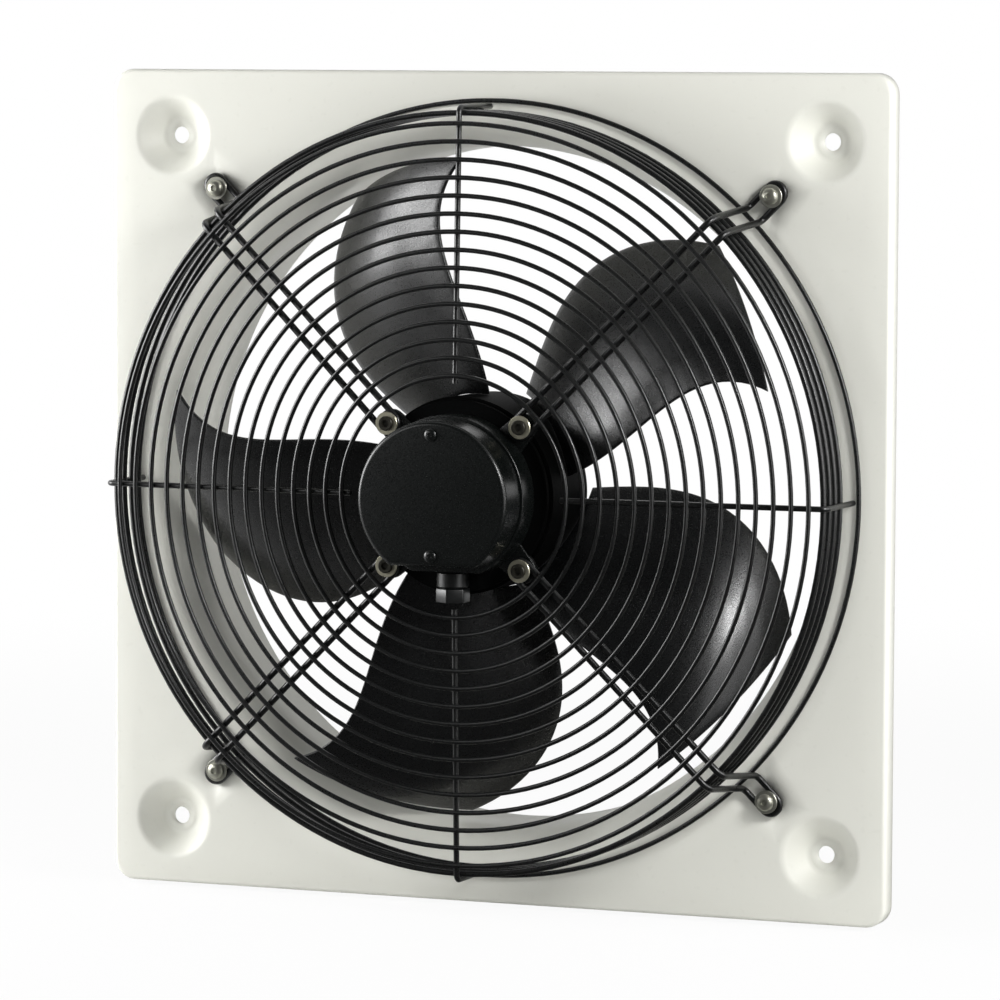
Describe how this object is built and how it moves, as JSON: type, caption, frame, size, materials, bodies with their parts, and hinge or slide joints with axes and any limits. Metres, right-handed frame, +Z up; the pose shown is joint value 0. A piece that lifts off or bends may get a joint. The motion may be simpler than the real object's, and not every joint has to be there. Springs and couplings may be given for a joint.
{
  "type": "window exhaust fan",
  "caption": "Square-plate axial exhaust fan: bellmouth wall plate, round wire guard carrying an external rotor motor, sickle-bladed impeller.",
  "frame": {"origin": "on the fan's axis, in the plane where the plate's rim and dished corners meet the wall", "axes": "+Y from the room through the wall along the air stream, +Z up, +X to the right seen from the guard side"},
  "size_m": [0.435, 0.1407, 0.435],
  "materials": {
    "plate_paint": "satin off-white powder coat",
    "wire_coating": "satin black coating",
    "motor_paint": "satin black paint",
    "rotor_paint": "satin black paint",
    "blade_paint": "satin black paint",
    "gland_nylon": "matt black nylon",
    "yellow_zinc": "yellow passivated zinc",
    "bright_steel": "bright zinc",
    "bearing_steel": "ground steel",
    "core_steel": "stacked electrical steel",
    "copper_wire": "varnished copper"
  },
  "bodies": {
    "root": {"wall_plate": "plate_paint", "guard_ring_1": "wire_coating", "guard_ring_2": "wire_coating", "guard_ring_3": "wire_coating", "guard_ring_4": "wire_coating", "guard_ring_5": "wire_coating", "guard_ring_6": "wire_coating", "guard_ring_7": "wire_coating", "guard_ring_8": "wire_coating", "guard_ring_9": "wire_coating", "guard_ring_10": "wire_coating", "guard_ring_11": "wire_coating", "guard_ring_12": "wire_coating", "guard_ring_13": "wire_coating", "guard_ring_14": "wire_coating", "guard_ring_15": "wire_coating", "side_ring_1": "wire_coating", "side_ring_2": "wire_coating", "side_ring_3": "wire_coating", "side_ring_4": "wire_coating", "base_ring": "wire_coating", "strut_1": "wire_coating", "strut_2": "wire_coating", "strut_3": "wire_coating", "strut_4": "wire_coating", "cross_wire_1": "wire_coating", "cross_wire_2": "wire_coating", "cross_wire_3": "wire_coating", "cross_wire_4": "wire_coating", "foot_washer_1": "bright_steel", "foot_washer_2": "bright_steel", "foot_washer_3": "bright_steel", "foot_washer_4": "bright_steel", "foot_screw_1": "bright_steel", "foot_screw_2": "bright_steel", "foot_screw_3": "bright_steel", "foot_screw_4": "bright_steel", "stator_housing": "motor_paint", "motor_cap": "motor_paint", "cap_screw_1": "bright_steel", "cap_screw_2": "bright_steel", "motor_screw_1": "yellow_zinc", "motor_screw_2": "yellow_zinc", "motor_screw_3": "yellow_zinc", "motor_screw_4": "yellow_zinc", "gland_body": "gland_nylon", "gland_nut": "gland_nylon", "stator_core": "core_steel", "winding": "copper_wire", "bearing_1": "bearing_steel", "bearing_2": "bearing_steel"},
    "rotor": {"shaft": "bearing_steel", "circlip": "bearing_steel", "rotor_shell": "rotor_paint", "rotor_core": "core_steel", "blade_1": "blade_paint", "blade_2": "blade_paint", "blade_3": "blade_paint", "blade_4": "blade_paint", "blade_5": "blade_paint"}
  },
  "joints": [
    {"name": "fan_spin", "type": "hinge", "parent": "root", "child": "rotor", "pos_m": [0, 0, 0], "axis": [0, 1, 0], "continuous": true}
  ]
}
